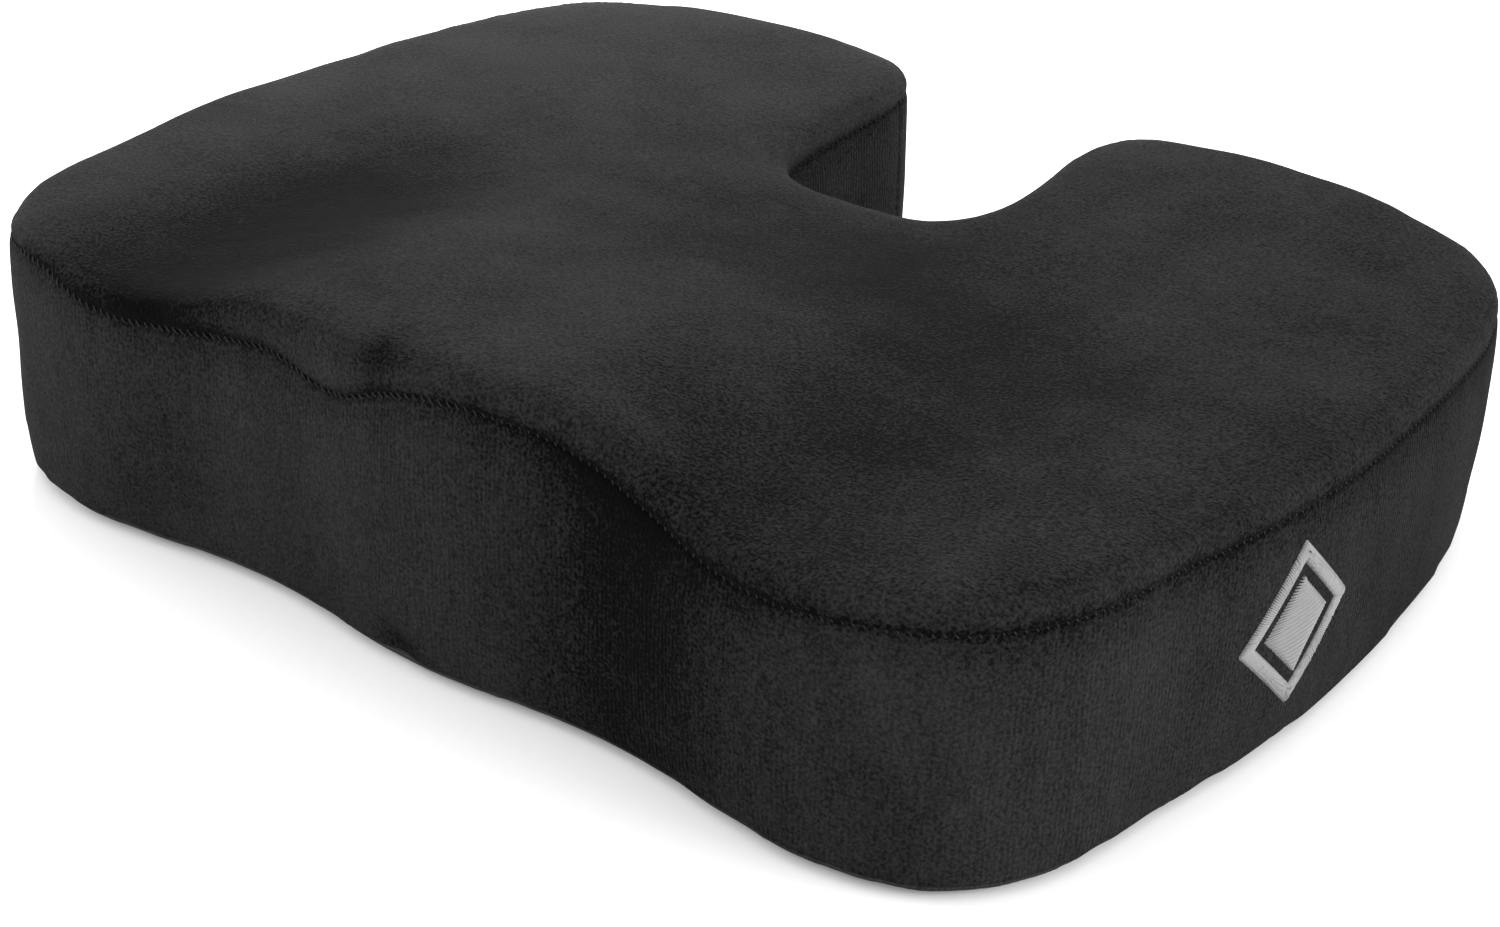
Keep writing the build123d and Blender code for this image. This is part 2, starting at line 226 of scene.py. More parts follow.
def closed_form():
    """The whole cover as one closed form: the side without the zip, and its mirror image."""
    bm = remeshed(["foam_core", "top_panel", "front_right_band", "rear_right_band",
                   "cutout_band", "base_panel", "motif_backing"], VOXEL)
    largest_only(bm)
    geom = bm.verts[:] + bm.edges[:] + bm.faces[:]
    bmesh.ops.bisect_plane(bm, geom=geom, plane_co=(0, 0, 0), plane_no=(1, 0, 0),
                           clear_inner=True, dist=1e-5)
    twin = bmesh.ops.duplicate(bm, geom=bm.verts[:] + bm.edges[:] + bm.faces[:])["geom"]
    faces = [g for g in twin if isinstance(g, bmesh.types.BMFace)]
    for vert in {v for f in faces for v in f.verts}:
        vert.co.x = -vert.co.x
    bmesh.ops.reverse_faces(bm, faces=faces)
    bmesh.ops.remove_doubles(bm, verts=bm.verts[:], dist=2e-5)
    return bm


def relax(bm, rounds, keep_low):
    """Evens the form, so that no step of the voxel grid is left."""
    for _ in range(rounds):
        verts = [v for v in bm.verts if v.co.z > keep_low]
        bmesh.ops.smooth_vert(bm, verts=verts, factor=0.5, use_axis_x=True,
                              use_axis_y=True, use_axis_z=True)


def held_share(places, normals):
    """1 where the top seam or the foot holds the cover, 0 where it is free."""
    drop = places[:, 2] - seam_height(places[:, 0], places[:, 1])
    wall = np.abs(normals[:, 2]) < 0.75
    hold = np.where(wall, bump(drop, 0.0, 0.004), 0.0)
    return np.maximum(hold, np.where(places[:, 2] < HELD_FOOT, 1.0, 0.0))


def simulated(obj, hold):
    """Places of the cover's points after the cloth simulation."""
    group = obj.vertex_groups.new(name="held")
    for index in np.nonzero(hold > 0.3)[0]:
        group.add([int(index)], float(hold[index]), "REPLACE")
    cloth = obj.modifiers.new("cloth", "CLOTH")
    cloth.settings.quality = 4
    cloth.settings.use_pressure = True
    cloth.settings.uniform_pressure_force = PRESSURE
    cloth.settings.vertex_group_mass = "held"
    cloth.settings.pin_stiffness = 1.0
    cloth.settings.shrink_min = GROWTH
    cloth.settings.effector_weights.gravity = 0
    cloth.collision_settings.use_collision = False
    scene = bpy.context.scene
    scene.frame_start, scene.frame_end = 1, SIM_FRAMES
    for step in range(1, SIM_FRAMES + 1):
        scene.frame_set(step)
    result = evaluated(obj)
    places = np.array([v.co for v in result.verts])
    result.free()
    scene.frame_set(1)
    return places


def evened(out, hold, pairs):
    """Outward moves evened over neighbouring points, apart from the held ones."""
    count = np.bincount(pairs.ravel(), minlength=len(out))
    for _ in range(EVEN_ROUNDS):
        total = np.zeros(len(out))
        np.add.at(total, pairs[:, 0], out[pairs[:, 1]])
        np.add.at(total, pairs[:, 1], out[pairs[:, 0]])
        out = np.where(hold > 0.5, out, 0.4 * out + 0.6 * total / count)
    return out


def swell(bm):
    """Pressure fills the cover, and its seams hold it in."""
    places, normals = arrays(bm)
    bm.verts.index_update()
    places = places - normals * START_SMALLER
    place_all(bm, places)
    hold = held_share(places, normals)
    pairs = np.array([[v.index for v in e.verts] for e in bm.edges])
    obj = new_object("cover", bm)
    moved = simulated(obj, hold) - places
    bpy.data.objects.remove(obj)
    least = LEAST * (1 - hold) + SEAM_PINCH * hold
    out = np.clip((moved * normals).sum(1), least, CAP)
    return places, normals, evened(out, hold, pairs)


def cover_form():
    """The swollen cover, smooth and closed."""
    bm = closed_form()
    relax(bm, 2, -1)
    places, normals, out = swell(bm.copy())
    place_all(bm, places + normals * out[:, None])
    relax(bm, 1, 0.01)
    for vert in bm.verts:
        vert.co.z = max(vert.co.z, LOWEST)
    obj = new_object("cover", bm)
    mod = obj.modifiers.new("fine", "SUBSURF")
    mod.levels = 1
    mod.render_levels = 1
    out = evaluated(obj)
    bpy.data.objects.remove(obj)
    return out


def plane_cut(bm, faces, place, normal):
    """Cuts the faces along a plane, and keeps both sides."""
    edges = {e for f in faces for e in f.edges}
    verts = {v for f in faces for v in f.verts}
    bmesh.ops.bisect_plane(bm, geom=list(verts) + list(edges) + list(faces),
                           plane_co=place, plane_no=normal, dist=1e-4)


def cut(bm, layer, mark, height, shifts):
    """Cuts the marked faces where their height above a surface is each shift."""
    for shift in shifts:
        faces = [f for f in bm.faces if f[layer] & mark]
        verts = list({v for f in faces for v in f.verts})
        rises = height(np.array([v.co.x for v in verts]), np.array([v.co.y for v in verts]))
        before = set(verts)
        for vert, rise in zip(verts, rises):
            vert.co.z -= float(rise)
        plane_cut(bm, faces, (0, 0, shift), (0, 0, 1))
        verts = list({v for f in bm.faces if f[layer] & mark for v in f.verts} | before)
        rises = height(np.array([v.co.x for v in verts]), np.array([v.co.y for v in verts]))
        for vert, rise in zip(verts, rises):
            vert.co.z += float(rise)


def add_seam_lines(bm):
    """Edge loops along every seam, so that each piece ends exactly on its seam."""
    top, foot, rear, left, side = 1, 2, 4, 8, 16
    bm.normal_update()
    layer = bm.faces.layers.int.new("near")
    centres = np.array([f.calc_center_median() for f in bm.faces])
    x, y, z = centres.T
    wall = np.abs(np.array([f.normal.z for f in bm.faces])) < WALL_NORMAL
    marks = np.zeros(len(x), int)
    marks += top * (wall & (np.abs(z - seam_height(x, y)) < 0.010))
    marks += foot * (wall & (z < 0.013))
    marks += rear * (wall & (np.abs(y - REAR_JOIN) < 0.008))
    marks += left * (wall & (np.abs(y - LEFT_JOIN) < 0.008) & (x < SIDE_X))
    marks += side * (wall & (x < SIDE_X) & (y > LEFT_JOIN) & (y < REAR_JOIN)
                     & (z > 0.02) & (z < 0.07))
    for face, value in zip(bm.faces, marks):
        face[layer] = int(value)
    cut(bm, layer, top, seam_height, SEAM_LINES)
    cut(bm, layer, foot, lambda u, v: np.full(len(u), FOOT), FOOT_LINES)

    def marked(mark):
        return [f for f in bm.faces if f[layer] & mark]

    for shift in JOIN_CUTS:
        plane_cut(bm, marked(rear), (0, REAR_JOIN + shift, 0), (0, 1, 0))
        plane_cut(bm, marked(left), (0, LEFT_JOIN + shift, 0), (0, 1, 0))
    for shift in (-ZIP_HALF - ZIP_LIP, -ZIP_HALF, 0.0, ZIP_HALF, ZIP_HALF + ZIP_LIP):
        plane_cut(bm, marked(side), (0, 0, ZIP_Z + shift), (0, 0, 1))
    for end in (ZIP_FRONT, ZIP_REAR):
        plane_cut(bm, marked(side), (0, end, 0), (0, 1, 0))


# ---------------------------------------------------------------- details of the cover
def shape_cover(bm):
    """Seam creases, the roll over the top edge, gathers, the fold, the dimple and the joins."""
    places, normals = arrays(bm)
    x, y, z = places.T
    drop = z - seam_height(x, y)
    wall = np.clip((WALL_NORMAL - np.abs(normals[:, 2])) / 0.2, 0, 1)
    below = np.where(drop < 0, 1.0, 0.0)
    left_front = fade((y + 0.09) / 0.03) * fade(x / 0.03) * fade((-x - 0.19) / 0.03)

    shift = np.zeros(len(places))
    shift -= (0.0005 + 0.0004 * left_front) * bump(drop, 0.0, 0.0012) * wall
    shift += 0.0004 * bump(drop, 0.0052, 0.0028) * wall

    # gathers beside the seam, and broad unevenness everywhere
    plan = np.column_stack([x, y, np.zeros(len(x))])
    along = soft_noise(plan, 95.0, 1) + 0.6 * soft_noise(plan, 210.0, 2)
    reach = np.exp(-np.abs(drop) / 0.011)
    shift += along * reach * wall * (0.00022 + 0.00045 * left_front)
    shift += 0.0011 * soft_noise(places, 16.0, 3) * wall * np.clip(z / 0.02, 0, 1)
    shift += 0.0009 * soft_noise(places, 13.0, 4) * (1 - wall) * (z > 0.03)
    shift += 0.00035 * soft_noise(places, 45.0, 5) * (z > 0.02)

    # the pinched fold above the seam, left of the pommel, and the dimple at the foot
    front = fade((y + 0.10) / 0.03)
    fold = bump(x, -0.012 + 0.25 * drop, 0.0045) * bump(drop, 0.007, 0.009)
    shift -= 0.0016 * fold * fade((y + 0.160) / 0.012)
    dimple = bump(x, -0.004, 0.006) * bump(z, DIMPLE_Z, 0.007) * wall
    shift -= 0.0022 * dimple * front
    shift -= 0.0010 * bump(z, FOOT, 0.0010) * wall
    places = places + normals * shift[:, None]

    # joins in the band
    x, y, z = places.T
    band = wall * below
    join = bump(y, REAR_JOIN, 0.0011) + bump(y, LEFT_JOIN, 0.0011) * (x < SIDE_X)
    places -= normals * (0.0009 * join * band)[:, None]
    side = (x < SIDE_X) * (y > LEFT_JOIN) * (y < REAR_JOIN) * band
    ends = side * ((y < ZIP_FRONT) | (y > ZIP_REAR))
    places -= normals * (0.0008 * bump(z, ZIP_Z, 0.0011) * ends)[:, None]
    places[:, 2] = np.maximum(places[:, 2], LOWEST)
    place_all(bm, places)


PIECE_NAMES = ["top_panel", "base_panel", "front_right_band", "rear_right_band",
               "rear_left_band", "cutout_band", "left_band_upper", "left_band_lower",
               "opening"]


def label(bm):
    """Writes on each face which cover piece it belongs to."""
    centres = np.array([f.calc_center_median() for f in bm.faces])
    x, y, z = centres.T
    names = np.full(len(x), PIECE_NAMES.index("front_right_band"))
    side = (x < SIDE_X) & (y > LEFT_JOIN)
    names[side & (z > ZIP_Z)] = PIECE_NAMES.index("left_band_upper")
    names[side & (z <= ZIP_Z)] = PIECE_NAMES.index("left_band_lower")
    names[(np.abs(x) < CUTOUT_X) & (y > CUTOUT_Y)] = PIECE_NAMES.index("cutout_band")
    names[(y > REAR_JOIN) & (x > 0)] = PIECE_NAMES.index("rear_right_band")
    names[(y > REAR_JOIN) & (x <= 0)] = PIECE_NAMES.index("rear_left_band")
    gap = (x < SIDE_X) & (y > ZIP_FRONT) & (y < ZIP_REAR) & (np.abs(z - ZIP_Z) < ZIP_HALF)
    names[gap] = PIECE_NAMES.index("opening")
    names[z < FOOT] = PIECE_NAMES.index("base_panel")
    names[z > seam_height(x, y)] = PIECE_NAMES.index("top_panel")
    layer = bm.faces.layers.int.new("piece")
    for face, value in zip(bm.faces, names):
        face[layer] = int(value)


def resampled(places, normals, pitch, closed):
    """Evenly spaced places along a line, with smooth normals."""
    if closed:
        places = np.vstack([places, places[:1]])
        normals = np.vstack([normals, normals[:1]])
    steps = np.linalg.norm(np.diff(places, axis=0), axis=1)
    length = np.concatenate([[0], np.cumsum(steps)])
    count = max(int(length[-1] / pitch), 2)
    at = np.linspace(0, length[-1], count, endpoint=not closed)
    out = np.column_stack([np.interp(at, length, places[:, i]) for i in range(3)])
    face = np.column_stack([np.interp(at, length, normals[:, i]) for i in range(3)])
    for _ in range(3):
        face = (np.roll(face, 1, 0) + 2 * face + np.roll(face, -1, 0)) / 4
    face /= np.maximum(np.linalg.norm(face, axis=1), 1e-9)[:, None]
    return out, face


def tube(bm, points, radius, sides=6):
    """Closed round tube along points, with flat ends."""
    points = [Vector(p) for p in points]
    rings = []
    up = Vector((0, 0, 1))
    for i, point in enumerate(points):
        ahead = points[min(i + 1, len(points) - 1)] - points[max(i - 1, 0)]
        ahead.normalize()
        across = ahead.cross(up)
        if across.length < 0.1:
            across = ahead.cross(Vector((0, 1, 0)))
        across.normalize()
        other = ahead.cross(across)
        ring = []
        for k in range(sides):
            turn = 2 * math.pi * k / sides
            offset = across * math.cos(turn) + other * math.sin(turn)
            ring.append(bm.verts.new(point + offset * radius))
        rings.append(ring)
    for a, b in zip(rings, rings[1:]):
        for k in range(sides):
            bm.faces.new((a[k], b[k], b[(k + 1) % sides], a[(k + 1) % sides]))
    bm.faces.new(rings[0])
    bm.faces.new(list(reversed(rings[-1])))


# ---------------------------------------------------------------- materials
WAVE_PERIOD = 0.314         # metres between the wave texture's bands at scale 1


def node_material(name):
    """New material, its node tree and its shader."""
    mat = bpy.data.materials.new(name)
    mat.use_nodes = True
    tree = mat.node_tree
    return mat, tree, tree.nodes["Principled BSDF"]


def add(tree, kind, **sockets):
    """New node with values on its sockets."""
    node = tree.nodes.new(kind)
    for key, value in sockets.items():
        node.inputs[key.replace("_", " ")].default_value = value
    return node


def ramp(tree, source, low, high, dark, light):
    """Maps low to high onto dark to light, and clamps."""
    node = tree.nodes.new("ShaderNodeMapRange")
    node.inputs["From Min"].default_value = low
    node.inputs["From Max"].default_value = high
    node.inputs["To Min"].default_value = dark
    node.inputs["To Max"].default_value = light
    tree.links.new(source, node.inputs["Value"])
    return node.outputs["Result"]


def math_node(tree, operation, a, b):
    node = tree.nodes.new("ShaderNodeMath")
    node.operation = operation
    for socket, value in zip(node.inputs, (a, b)):
        if isinstance(value, (int, float)):
            socket.default_value = value
        else:
            tree.links.new(value, socket)
    return node.outputs[0]


def noise_node(tree, vector, scale, detail, rough=0.55):
    node = add(tree, "ShaderNodeTexNoise", Scale=scale, Detail=detail, Roughness=rough)
    tree.links.new(vector, node.inputs["Vector"])
    return node.outputs["Fac"]


def two_tone(tree, factor, dark, light):
    """Colour that goes from dark to light with the factor."""
    mix = tree.nodes.new("ShaderNodeMix")
    mix.data_type = "RGBA"
    mix.inputs["A"].default_value = (*dark, 1)
    mix.inputs["B"].default_value = (*light, 1)
    tree.links.new(factor, mix.inputs["Factor"])
    return mix.outputs["Result"]


def dented(tree, shader, height, strength, distance):
    """Fine relief from a height."""
    dent = add(tree, "ShaderNodeBump", Strength=strength, Distance=distance)
    tree.links.new(height, dent.inputs["Height"])
    tree.links.new(dent.outputs["Normal"], shader.inputs["Normal"])


def velour(name, dark, light, ribs, sheen=0.013):
    """Short-pile velour: mottled nap, brushed patches, fine pile and knitted ribs."""
    mat, tree, shader = node_material(name)
    where = tree.nodes.new("ShaderNodeTexCoord").outputs["Object"]
    stretch = add(tree, "ShaderNodeMapping", Scale=(1.0, 1.0, 0.45))
    tree.links.new(where, stretch.inputs["Vector"])
    patches = noise_node(tree, stretch.outputs["Vector"], 26.0, 3.0)
    nap = noise_node(tree, stretch.outputs["Vector"], 170.0, 5.0, 0.70)
    pile = noise_node(tree, where, 950.0, 3.0, 0.65)
    tone = math_node(tree, "MULTIPLY", ramp(tree, patches, 0.3, 0.7, -1, 1), 0.22)
    tone = math_node(tree, "ADD", tone, math_node(
        tree, "MULTIPLY", ramp(tree, nap, 0.3, 0.7, -1, 1), 0.15))
    tone = math_node(tree, "ADD", tone, math_node(
        tree, "MULTIPLY", ramp(tree, pile, 0.35, 0.65, -1, 1), 0.50))
    height = math_node(tree, "ADD", math_node(tree, "MULTIPLY", nap, 0.45),
                       math_node(tree, "MULTIPLY", pile, 0.55))
    if ribs:
        uv = tree.nodes.new("ShaderNodeUVMap")
        uv.uv_map = "along"
        wave = add(tree, "ShaderNodeTexWave", Scale=ribs, Distortion=3.0, Detail=2.0)
        wave.inputs["Detail Scale"].default_value = 0.6
        tree.links.new(uv.outputs["UV"], wave.inputs["Vector"])
        rib = wave.outputs["Fac"]
        where_ribs = ramp(tree, noise_node(tree, where, 14.0, 2.0), 0.40, 0.60, 0.15, 1.0)
        rib = math_node(tree, "MULTIPLY", rib, where_ribs)
        tone = math_node(tree, "ADD", tone, math_node(tree, "MULTIPLY", rib, 0.14))
        height = math_node(tree, "ADD", height, math_node(tree, "MULTIPLY", rib, 0.12))
    # painted shade and highlight from the vertex attribute make the tone darker or paler
    shade = tree.nodes.new("ShaderNodeAttribute")
    shade.attribute_name = "painted_shade_and_highlight"
    tone = math_node(tree, "SUBTRACT", tone, shade.outputs["Fac"])
    colour = two_tone(tree, ramp(tree, tone, -0.75, 0.75, 0.0, 1.0), dark, light)
    tree.links.new(colour, shader.inputs["Base Color"])
    tree.links.new(ramp(tree, nap, 0.3, 0.7, 0.86, 0.98), shader.inputs["Roughness"])
    dented(tree, shader, height, 1.0, 0.0015)
    shader.inputs["Specular IOR Level"].default_value = 0.02
    shader.inputs["Sheen Weight"].default_value = sheen
    shader.inputs["Sheen Roughness"].default_value = 0.42
    shader.inputs["Sheen Tint"].default_value = (0.85, 0.85, 0.87, 1)
    return mat


def woven(name, dark, light, pitch, strength=0.5, rough=0.75, specular=0.15):
    """Plain-woven cloth or tape, or packed thread, from two crossed waves."""
    scale = WAVE_PERIOD / pitch
    mat, tree, shader = node_material(name)
    where = tree.nodes.new("ShaderNodeTexCoord").outputs["Object"]
    waves = []
    for direction in ("Y", "Z"):
        wave = add(tree, "ShaderNodeTexWave", Scale=scale, Distortion=0.6)
        wave.bands_direction = direction
        tree.links.new(where, wave.inputs["Vector"])
        waves.append(wave.outputs["Fac"])
    weave = math_node(tree, "MULTIPLY", waves[0], waves[1])
    fuzz = noise_node(tree, where, 900.0, 3.0)
    tone = math_node(tree, "ADD", weave, math_node(tree, "MULTIPLY", fuzz, 0.5))
    colour = two_tone(tree, ramp(tree, tone, 0.1, 1.1, 0.0, 1.0), dark, light)
    tree.links.new(colour, shader.inputs["Base Color"])
    tree.links.new(ramp(tree, fuzz, 0.3, 0.7, rough - 0.08, rough + 0.08),
                   shader.inputs["Roughness"])
    dented(tree, shader, tone, strength, 0.0003)
    shader.inputs["Specular IOR Level"].default_value = specular
    return mat


def grained(name, dark, light, scale, metallic, rough, bump_strength, specular=0.5):
    """Cast metal, nylon, rubber or foam: colour, gloss and dents from one grain."""
    mat, tree, shader = node_material(name)
    where = tree.nodes.new("ShaderNodeTexCoord").outputs["Object"]
    grain = noise_node(tree, where, scale, 5.0, 0.6)
    broad = noise_node(tree, where, scale / 12, 3.0)
    both = math_node(tree, "MULTIPLY", math_node(tree, "ADD", grain, broad), 0.5)
    colour = two_tone(tree, ramp(tree, both, 0.35, 0.65, 0.0, 1.0), dark, light)
    tree.links.new(colour, shader.inputs["Base Color"])
    tree.links.new(ramp(tree, grain, 0.3, 0.7, rough - 0.07, rough + 0.1),
                   shader.inputs["Roughness"])
    dented(tree, shader, grain, bump_strength, 0.0002)
    shader.inputs["Metallic"].default_value = metallic
    shader.inputs["Specular IOR Level"].default_value = specular
    return mat


VELOUR_TOP = velour("velour_top", (0.0012, 0.0012, 0.00123), (0.0250, 0.0250, 0.0254), 0)
VELOUR_BAND = velour("velour_band", (0.0012, 0.0012, 0.00123), (0.0235, 0.0235, 0.0239), 190.0)
BASE_CLOTH = woven("base_cloth", (0.010, 0.010, 0.011), (0.030, 0.030, 0.032), 0.0011)
DOTS = grained("silicone_dots", (0.018, 0.018, 0.019), (0.030, 0.030, 0.032), 500, 0, 0.5, 0.2)
THREAD = woven("thread_dark", (0.006, 0.006, 0.006), (0.022, 0.022, 0.023), 0.0004, 0.4)
MOTIF_THREAD = woven("thread_grey", (0.16, 0.16, 0.163), (0.31, 0.31, 0.314), 0.0005, 0.4, 0.5)
BACKING = woven("backing_cloth", (0.30, 0.30, 0.30), (0.48, 0.48, 0.48), 0.0006)
TAPE = woven("zip_tape", (0.008, 0.008, 0.008), (0.028, 0.028, 0.029), 0.0007)
COIL = grained("zip_coil", (0.012, 0.012, 0.013), (0.022, 0.022, 0.024), 900, 0, 0.36, 0.1)
METAL = grained("zip_metal", (0.05, 0.05, 0.052), (0.09, 0.09, 0.094), 700, 1.0, 0.32, 0.12)
FOAM = grained("memory_foam", (0.55, 0.52, 0.42), (0.78, 0.75, 0.64), 420, 0, 0.92, 0.7, 0.2)


def shade_behind_zip(mat):
    """Painted shade on the foam just behind the zip, which the meshed coils of a real one hide."""
    tree = mat.node_tree
    shader = tree.nodes["Principled BSDF"]
    colour = shader.inputs["Base Color"].links[0].from_socket
    parts = tree.nodes.new("ShaderNodeSeparateXYZ")
    tree.links.new(tree.nodes.new("ShaderNodeTexCoord").outputs["Object"], parts.inputs[0])
    away = math_node(tree, "SUBTRACT", parts.outputs["Z"], ZIP_Z)
    away = math_node(tree, "ABSOLUTE", away, 0.0)
    near = ramp(tree, away, 0.004, 0.007, 1.0, 0.0)
    left = ramp(tree, parts.outputs["X"], SIDE_X, SIDE_X + 0.01, 1.0, 0.0)
    mix = tree.nodes.new("ShaderNodeMix")
    mix.data_type = "RGBA"
    # the painted shade colour
    mix.inputs["B"].default_value = (0.006, 0.006, 0.006, 1)
    tree.links.new(math_node(tree, "MULTIPLY", near, left), mix.inputs["Factor"])
    tree.links.new(colour, mix.inputs["A"])
    tree.links.new(mix.outputs["Result"], shader.inputs["Base Color"])


shade_behind_zip(FOAM)


def finish_piece(obj, material, body, slot, *nodes):
    """Gives a piece its material and body, and hides the CAD nodes that it stands for. Its slot is
    not used.
    """
    obj.data.materials.clear()
    obj.data.materials.append(material)
    for face in obj.data.polygons:
        face.use_smooth = True
    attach(obj, body)
    if nodes:
        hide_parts(*nodes)
    return obj


# ---------------------------------------------------------------- the cover
form = cover_form()
add_seam_lines(form)
label(form)
shape_cover(form)
form.normal_update()


def seam_edges(bm, first, second):
    """Edges between two sets of cover pieces, in the mesh's order."""
    layer = bm.faces.layers.int["piece"]
    first = {PIECE_NAMES.index(n) for n in first}
    second = {PIECE_NAMES.index(n) for n in second}
    found = []
    for edge in bm.edges:
        if len(edge.link_faces) != 2:
            continue
        a, b = (f[layer] for f in edge.link_faces)
        if a != b and ((a in first and b in second) or (b in first and a in second)):
            found.append(edge)
    return found


BANDS = {"front_right_band", "rear_right_band", "rear_left_band", "cutout_band",
         "left_band_upper", "left_band_lower"}


def ordered(edges):
    """The longest run of joined edges, as ordered places and normals."""
    links = {}
    for edge in edges:
        a, b = edge.verts
        links.setdefault(a, []).append(b)
        links.setdefault(b, []).append(a)
    best, seen = [], set()
    for start in [v for v in links if len(links[v]) == 1] + list(links):
        if start in seen:
            continue
        line, here = [start], start
        seen.add(start)
        while True:
            following = [v for v in links[here] if v not in seen]
            if not following:
                break
            here = following[0]
            seen.add(here)
            line.append(here)
        if len(line) > len(best):
            best = line
    return np.array([v.co for v in best]), np.array([v.normal for v in best])


TOP_LINE = ordered(seam_edges(form, {"top_panel"}, BANDS))
FOOT_LINE = ordered(seam_edges(form, {"base_panel"}, BANDS))
REARMOST = int(np.argmax(FOOT_LINE[0][:, 1]))
FOOT_LINE = tuple(np.roll(values, -REARMOST, axis=0) for values in FOOT_LINE)
JOINS = (("rear_right_band", "front_right_band"), ("rear_right_band", "cutout_band"),
         ("rear_left_band", "cutout_band"), ("rear_left_band", "left_band_upper"),
         ("rear_left_band", "left_band_lower"), ("front_right_band", "left_band_upper"),
         ("front_right_band", "left_band_lower"))
JOIN_LINES = [ordered(seam_edges(form, {one}, {other})) for one, other in JOINS]
COVER_TREE = BVHTree.FromBMesh(form)


def write_uv(bm):
    """Length along the foot of the wall and height, for ribs that follow the band."""
    places, _ = FOOT_LINE
    closed = np.vstack([places, places[:1]])
    length = np.concatenate([[0], np.cumsum(np.linalg.norm(np.diff(closed, axis=0), axis=1))])
    tree = KDTree(len(places))
    for index, place in enumerate(places):
        tree.insert((place[0], place[1], 0), index)
    tree.balance()
    layer = bm.loops.layers.uv.new("along")
    at = {}
    for vert in bm.verts:
        _, index, _ = tree.find((vert.co.x, vert.co.y, 0))
        here = places[index]
        following = closed[index + 1]
        way = Vector((following[0] - here[0], following[1] - here[1]))
        more = 0.0
        if way.length > 1e-9:
            more = Vector((vert.co.x - here[0], vert.co.y - here[1])).dot(way) / way.length
        at[vert] = length[index] + more
    for face in bm.faces:
        for loop in face.loops:
            loop[layer].uv = (at[loop.vert], loop.vert.co.z)


def top_painted_shading(x, y):
    """Painted shade and painted highlight on the seat cloth: how much darker or paler each place
    is.
    """
    # painted shade: the left valley, the right groove, the middle of the seat, the right side and
    # the fold at the front
    dark = 1.15 * bump(x, -0.118, 0.042) * fade((y + 0.100) / 0.15)
    dark += 0.40 * bump(x, 0.112, 0.050) * fade((y + 0.06) / 0.12)
    dark += 0.62 * bump(x, 0.040, 0.072) * bump(y, 0.000, 0.052)
    dark += 0.12 * bump(x, 0.19, 0.07)
    dark += 0.45 * bump(x, -0.008, 0.007) * bump(y, -0.166, 0.007)
    # painted highlight: the left of the seat and the rear left
    dark -= 0.34 * fade((x + 0.20) / 0.16)
    dark -= 0.34 * bump(y, 0.140, 0.080) * fade((x + 0.06) / 0.06)
    return dark + 0.08


def band_painted_shading(x, y):
    """Painted shade and painted highlight on the side band, the same way."""
    front = fade((y + 0.150) / 0.060)
    rear = 0.30 * fade((0.06 - y) / 0.10) * (x > 0.15)
    return 0.88 * bump(x, 0.085, 0.036) * front - 0.10 * front + rear


def write_painted_shading(bm):
    """How dark each point is painted: painted shade in and just below the top seam, a painted
    highlight on the roll above it.
    """
    places, normals = arrays(bm)
    x, y, z = places.T
    drop = z - seam_height(x, y)
    dark = PAINTED_SEAM_SHADE * bump(drop, 0.0, 0.0016) + 0.25 * bump(drop, -0.004, 0.006)
    dark -= PAINTED_ROLL_HIGHLIGHT * bump(drop, 0.0060, 0.0032)
    dark = np.where(np.abs(normals[:, 2]) < 0.95, dark, 0.0)
    dark += np.where(drop > 0, top_painted_shading(x, y), band_painted_shading(x, y))
    # painted shade along the foot seam and in the dimple of the front wall
    dark += 0.6 * bump(z, FOOT, 0.0018)
    dark += 0.8 * bump(x, -0.002, 0.008) * bump(z, DIMPLE_Z, 0.006) * (y < FRONT_Y)
    layer = bm.verts.layers.float.new("painted_shade_and_highlight")
    for vert, value in zip(bm.verts, dark):
        vert[layer] = float(value)


write_uv(form)
write_painted_shading(form)


def piece_of(bm, name):
    """Copy of the faces of one cover piece."""
    out = bm.copy()
    layer = out.faces.layers.int["piece"]
    wanted = PIECE_NAMES.index(name)
    other = [f for f in out.faces if f[layer] != wanted]
    bmesh.ops.delete(out, geom=other, context="FACES")
    return out


def fold_hem(bm):
    """Turns the cloth in along the zip opening, down to the tape."""
    edges = [e for e in bm.edges if len(e.link_faces) == 1
             and all(ZIP_FRONT - 1e-3 < v.co.y < ZIP_REAR + 1e-3 for v in e.verts)
             and all(v.co.x < SIDE_X for v in e.verts)
             and all(abs(v.co.z - ZIP_Z) < ZIP_HALF + 4e-4 for v in e.verts)]
    for depth, inward in HEM_STEPS:
        made = bmesh.ops.extrude_edge_only(bm, edges=edges)["geom"]
        fresh = {g for g in made if isinstance(g, bmesh.types.BMVert)}
        for vert in fresh:
            out = Vector((vert.co.x - WALL_CENTRE[0], vert.co.y - WALL_CENTRE[1], 0))
            vert.co -= out.normalized() * depth
            if abs(vert.co.y - ZIP_FRONT) > 1e-3 and abs(vert.co.y - ZIP_REAR) > 1e-3:
                vert.co.z -= math.copysign(inward, vert.co.z - ZIP_Z)
        edges = [g for g in made if isinstance(g, bmesh.types.BMEdge)
                 and all(v in fresh for v in g.verts)]


def cover_piece(name, material, slot):
    """One cloth piece of the cover, with its thickness and any zip hem."""
    part = piece_of(form, name)
    if name.startswith("left_band"):
        fold_hem(part)
    obj = new_object("cover_" + name, part)
    solid = obj.modifiers.new("cloth", "SOLIDIFY")
    solid.thickness = CLOTH
    solid.offset = -1
    solid.use_even_offset = False
    return finish_piece(obj, material, "cushion", slot, name)


PIECES = {"top_panel": cover_piece("top_panel", VELOUR_TOP, "velour"),
          "base_panel": cover_piece("base_panel", BASE_CLOTH, "base_cloth")}
for band_name in sorted(BANDS):
    PIECES[band_name] = cover_piece(band_name, VELOUR_BAND, "velour")


